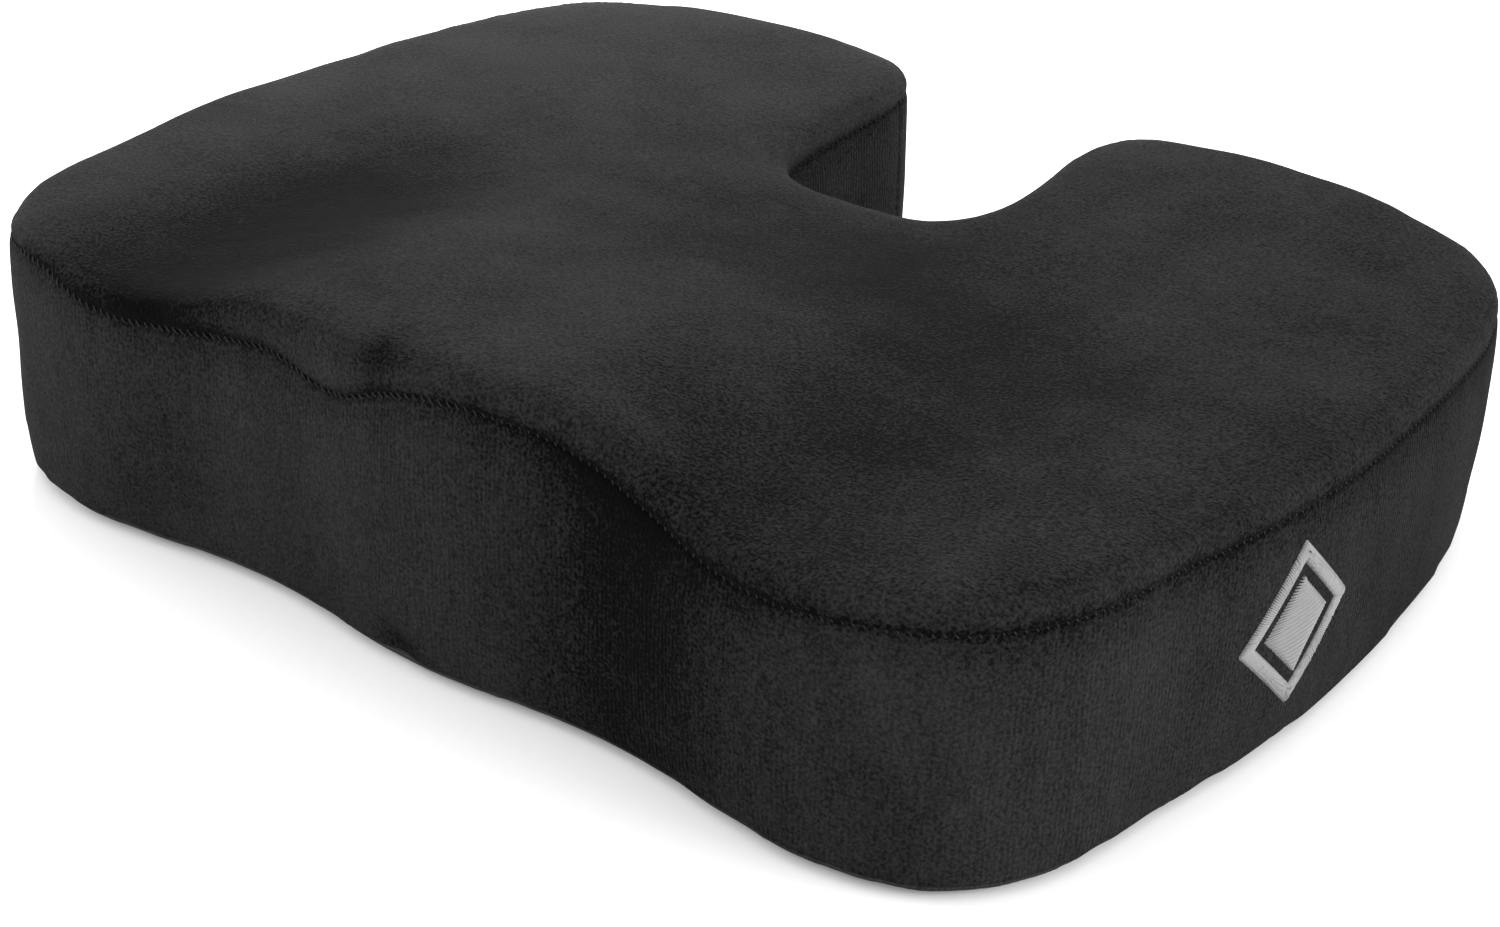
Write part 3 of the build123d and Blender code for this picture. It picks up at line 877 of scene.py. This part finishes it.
# ---------------------------------------------------------------- foam inside
def foam_block():
    """The moulded core, a little inside the cover, with its zip pocket."""
    bm = remeshed(["foam_core"], VOXEL)
    largest_only(bm)
    relax(bm, 2, -1)
    places, normals = arrays(bm)
    places = places - normals * FOAM_INSET
    cells = soft_noise(places, 260.0, 7)
    place_all(bm, places + normals * (FOAM_PORES * cells)[:, None])
    return new_object("foam_block", bm)


foam = finish_piece(foam_block(), FOAM, "cushion", "foam", "foam_core")


# ---------------------------------------------------------------- stitching
def whip_stitches():
    """Loops over the top seam: each goes from the seat cloth to the band, slanting."""
    places, normals = resampled(*TOP_LINE, WHIP_PITCH, True)
    bm = bmesh.new()
    count = len(places)
    for i in range(count):
        here, face = Vector(places[i]), Vector(normals[i])
        following = Vector(places[(i + 1) % count])
        along = (following - here).normalized()
        up = face.cross(along).normalized()
        if up.z < 0:
            up = -up
        wobble = noise.noise(here * 300)
        left = float(fade((here.y + 0.09) / 0.03)) * float(fade((here.x - 0.01) / 0.03))
        proud = 0.0003 * left - 0.0006
        size = 0.0008 + 0.0006 * left + 0.0003 * wobble
        points = []
        for step in range(7):
            way = step / 6 * 2 - 1
            arch = 1 - way * way
            slant = 0.0006 + 0.0006 * left + 0.0005 * wobble
            place = here + up * (way * size) + along * (way * slant)
            points.append(place + face * (arch * 0.0007 + proud))
        tube(bm, points, WHIP_RADIUS + 0.00006 * left)
    return new_object("top_seam_thread", bm)


def lock_stitches(lines, name, pitch, radius, proud, closed):
    """Rows of single stitches, each a short thread that dips at both ends."""
    bm = bmesh.new()
    for line in lines:
        if len(line[0]) < 3:
            continue
        places, normals = resampled(*line, pitch / 2, closed)
        count = len(places)
        for i in range(0, count - 1, 2):
            j = (i + 1) % count
            a, b = Vector(places[i]), Vector(places[j])
            face = Vector(normals[i])
            reach = b - a
            a = a - reach * 0.25
            points = []
            for step in range(5):
                way = step / 4
                arch = math.sin(math.pi * way)
                points.append(a + reach * 1.35 * way + face * (proud * arch - radius * 0.9))
            tube(bm, points, radius)
    return new_object(name, bm)


finish_piece(whip_stitches(), THREAD, "cushion", "thread", "top_seam_stitching")
finish_piece(
    lock_stitches([FOOT_LINE], "base_seam_thread", 0.0040, 0.00026, 0.0003, True),
    THREAD, "cushion", "thread", "base_seam_stitching")
finish_piece(
    lock_stitches(JOIN_LINES, "join_thread", 0.0036, 0.00030, 0.0006, False),
    THREAD, "cushion", "thread", "join_stitching")


def side_row(height):
    """Line along the left wall at one height, beside the zip opening."""
    places, normals = [], []
    for y in np.linspace(ZIP_FRONT - 0.005, ZIP_REAR + 0.005, 121):
        hit, normal, _, _ = COVER_TREE.ray_cast(Vector((-0.3, y, height)), Vector((1, 0, 0)))
        if hit is not None:
            places.append(hit)
            normals.append(normal)
    return np.array(places), np.array(normals)


finish_piece(
    lock_stitches([side_row(ZIP_Z + ZIP_ROW), side_row(ZIP_Z - ZIP_ROW)],
                  "zip_thread", 0.0038, 0.00028, 0.0005, False),
    THREAD, "cushion", "thread", "zip_stitching")


# ---------------------------------------------------------------- embroidery
MOTIF_Y = -0.038
MOTIF_Z = 0.046
MOTIF_HALF = 0.027          # from the middle of the lozenge to its corners
MOTIF_BAR = 0.0065
MOTIF_GAP = 0.0050
SATIN_PITCH = 0.00074
SATIN_RADIUS = 0.00037


def on_right_wall(y, z, proud):
    """Place on the right wall of the cover, or a little proud of it."""
    hit, normal, _, _ = COVER_TREE.ray_cast(Vector((0.3, y, z)), Vector((-1, 0, 0)))
    if hit is None:
        hit, normal = Vector((0.225, y, z)), Vector((1, 0, 0))
    return hit + normal * proud


def satin(bm, start, end, proud):
    """One thread of satin stitch across a shape, rising in its middle."""
    points = []
    for step in range(7):
        way = step / 6
        y = start[0] + (end[0] - start[0]) * way
        z = start[1] + (end[1] - start[1]) * way
        rise = proud * (1 - (2 * way - 1) ** 4)
        points.append(on_right_wall(y, z, rise - SATIN_RADIUS * 0.4))
    tube(bm, points, SATIN_RADIUS, 5)


def embroidery():
    """A plain lozenge frame with a filled middle, all in satin stitch."""
    bm = bmesh.new()
    corners = [(1, 0), (0, 1), (-1, 0), (0, -1)]
    outer, inner = MOTIF_HALF, MOTIF_HALF - MOTIF_BAR
    for (ay, az), (by, bz) in zip(corners, corners[1:] + corners[:1]):
        count = int(math.hypot(by - ay, bz - az) * outer / SATIN_PITCH)
        for i in range(count):
            way = (i + 0.5) / count
            wobble = 0.0003 * noise.noise(Vector((i * 0.7, ay * 3, az * 5)))
            y, z = ay + (by - ay) * way, az + (bz - az) * way
            start = (MOTIF_Y + y * (outer + wobble), MOTIF_Z + z * (outer + wobble))
            end = (MOTIF_Y + y * (inner + wobble), MOTIF_Z + z * (inner + wobble))
            satin(bm, start, end, 0.0009 + wobble)
    half = inner - MOTIF_GAP
    count = int(2 * half / SATIN_PITCH)
    for i in range(count):
        z = -half + 2 * half * (i + 0.5) / count
        reach = half - abs(z) + 0.0003 * noise.noise(Vector((i * 0.9, 2, 8)))
        satin(bm, (MOTIF_Y - reach, MOTIF_Z + z), (MOTIF_Y + reach, MOTIF_Z + z), 0.0010)
    return new_object("motif_embroidery", bm)


finish_piece(embroidery(), MOTIF_THREAD, "cushion", "motif_thread", "embroidered_motif")


# ---------------------------------------------------------------- base dots
DOT_PITCH = 0.0085
DOT_ROW = 0.866             # the rows lie this share of the pitch apart
DOT_RADIUS = 0.0014
DOT_TALL = 0.0006
DOT_Z = 0.0008              # where a dot meets the base cloth
DOT_MARGIN = 0.008          # no dot lies nearer to the edge of the base box
DOT_CLEAR = 0.006           # or this near to a place where the base curves up
DOT_SIDES = 10
DOT_PROFILE = ((1.0, 0.0), (0.96, 0.55), (0.70, 0.88))      # share of the radius, of the drop


def base_is_flat(x, y):
    """Whether the base lies flat all round a place."""
    for turn in range(8):
        angle = turn * math.pi / 4
        spot = Vector((x + DOT_CLEAR * math.cos(angle), y + DOT_CLEAR * math.sin(angle), -0.01))
        hit, _, _, _ = COVER_TREE.ray_cast(spot, Vector((0, 0, 1)))
        if hit is None or hit.z > 0.002:
            return False
    return True


def dome(bm, x, y):
    """Low round dot that hangs down from the base cloth."""
    rings = []
    for share, drop in DOT_PROFILE:
        ring = []
        for k in range(DOT_SIDES):
            turn = 2 * math.pi * k / DOT_SIDES
            ring.append(bm.verts.new((x + DOT_RADIUS * share * math.cos(turn),
                                      y + DOT_RADIUS * share * math.sin(turn),
                                      DOT_Z - DOT_TALL * drop)))
        rings.append(ring)
    for a, b in zip(rings, rings[1:]):
        for k in range(DOT_SIDES):
            bm.faces.new((a[k], a[(k + 1) % DOT_SIDES], b[(k + 1) % DOT_SIDES], b[k]))
    bm.faces.new(rings[0])
    tip = bm.verts.new((x, y, DOT_Z - DOT_TALL))
    for k in range(DOT_SIDES):
        bm.faces.new((rings[-1][k], rings[-1][(k + 1) % DOT_SIDES], tip))


def base_dots():
    """Anti-slip silicone dots in staggered rows under the base panel."""
    bm = bmesh.new()
    low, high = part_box("base_panel")
    row = 0
    y = low.y + DOT_MARGIN
    while y < high.y - DOT_MARGIN:
        x = low.x + DOT_MARGIN + (DOT_PITCH / 2 if row % 2 else 0)
        while x < high.x - DOT_MARGIN:
            if base_is_flat(x, y):
                dome(bm, x, y)
            x += DOT_PITCH
        y += DOT_PITCH * DOT_ROW
        row += 1
    bmesh.ops.recalc_face_normals(bm, faces=bm.faces[:])
    return new_object("base_dots", bm)


finish_piece(base_dots(), DOTS, "cushion", "base_cloth")


# ---------------------------------------------------------------- zip
def zip_line(along, depth, height):
    """Place in the left wall: along it from the widest point, in from its face."""
    angle = along / WALL_RADIUS
    radius = WALL_RADIUS - depth
    return Vector((WALL_CENTRE[0] - radius * math.cos(angle),
                   WALL_CENTRE[1] + radius * math.sin(angle), height))


def coil(name, node, side):
    """Nylon coil: a close helix, flattened, along the edge of its tape."""
    bm = bmesh.new()
    count = int((COIL_END - COIL_START) / COIL_PITCH)
    points = []
    for i in range(count * 10 + 1):
        turn = 2 * math.pi * i / 10
        along = COIL_START + (COIL_END - COIL_START) * i / (count * 10)
        height = ZIP_Z + side * (COIL_OUT + COIL_HALF_HEIGHT * math.cos(turn))
        points.append(zip_line(along, COIL_DEPTH + COIL_HALF_DEPTH * math.sin(turn), height))
    tube(bm, points, COIL_WIRE, 5)
    finish_piece(new_object(name, bm), COIL, "cushion", "zip_coil", node)


coil("coil_upper", "zip_coil_upper", 1)
coil("coil_lower", "zip_coil_lower", -1)


def dress(node, material):
    """Better material on a CAD piece whose shape is right."""
    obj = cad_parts[node]
    if not obj.material_slots:
        obj.data.materials.append(material)
    for slot in obj.material_slots:
        slot.material = material


for node_name in ("zip_tape_upper", "zip_tape_lower"):
    dress(node_name, TAPE)
dress("motif_backing", BACKING)
for node_name in ("zip_slider", "zip_pull_tab", "zip_top_stops", "zip_bottom_stop"):
    dress(node_name, METAL)


# ---------------------------------------------------------------- floor, light, camera
FLOOR_HALF = 6.0
SOFT_BOXES = (("rear_box", (-1.3, 1.3, 0.95), (0.9, 0.9), 55),
              ("right_box", (1.9, 0.5, 0.6), (1.2, 1.0), 30),
              ("left_box", (-1.9, -0.9, 0.5), (1.2, 1.0), 20))      # place, size, watts
WORLD_STRENGTH = 1.45


def floor():
    """Large sheet of white studio paper."""
    corners = [(x * FLOOR_HALF, y * FLOOR_HALF, 0) for x, y in ((-1, -1), (1, -1), (1, 1), (-1, 1))]
    mesh = bpy.data.meshes.new("floor")
    mesh.from_pydata(corners, [], [(0, 1, 2, 3)])
    obj = bpy.data.objects.new("floor", mesh)
    bpy.context.scene.collection.objects.link(obj)
    mat, tree, shader = node_material("floor_paper")
    where = tree.nodes.new("ShaderNodeTexCoord").outputs["Object"]
    grain = noise_node(tree, where, 300.0, 3.0)
    colour = two_tone(tree, grain, (0.93, 0.93, 0.93), (0.96, 0.96, 0.96))
    tree.links.new(colour, shader.inputs["Base Color"])
    shader.inputs["Roughness"].default_value = 0.9
    shader.inputs["Specular IOR Level"].default_value = 0.1
    mesh.materials.append(mat)


def soft_box(name, place, size, power):
    """Rectangular light aimed at the cushion."""
    light = bpy.data.lights.new(name, "AREA")
    light.shape = "RECTANGLE"
    light.size, light.size_y = size
    light.energy = power
    obj = bpy.data.objects.new(name, light)
    obj.location = place
    aim = Vector((0, 0, 0.05)) - Vector(place)
    obj.rotation_euler = aim.to_track_quat("-Z", "Y").to_euler()
    bpy.context.scene.collection.objects.link(obj)


def surroundings():
    """Even white light from all round."""
    world = bpy.data.worlds.new("surroundings")
    world.use_nodes = True
    background = world.node_tree.nodes["Background"]
    background.inputs["Color"].default_value = (1, 1, 1, 1)
    background.inputs["Strength"].default_value = WORLD_STRENGTH
    bpy.context.scene.world = world
    bpy.context.scene.view_settings.view_transform = "Standard"


def camera():
    """Camera at the photograph's viewing angle, rolled a little."""
    obj = bpy.data.objects.new("camera", bpy.data.cameras.new("camera"))
    back = (Vector(CAMERA_PLACE) - Vector(CAMERA_AIM)).normalized()
    level = Vector((0, 0, 1)).cross(back).normalized()
    upright = back.cross(level)
    right = level * math.cos(CAMERA_ROLL) + upright * math.sin(CAMERA_ROLL)
    up = back.cross(right)
    obj.matrix_world = Matrix.Translation(CAMERA_PLACE) @ Matrix(
        (right, up, back)).transposed().to_4x4()
    obj.data.lens = CAMERA_LENS
    obj.data.sensor_width = CAMERA_SENSOR
    obj.data.clip_start = 0.01
    bpy.context.scene.collection.objects.link(obj)
    bpy.context.scene.camera = obj


floor()
for soft_box_facts in SOFT_BOXES:
    soft_box(*soft_box_facts)
surroundings()
camera()
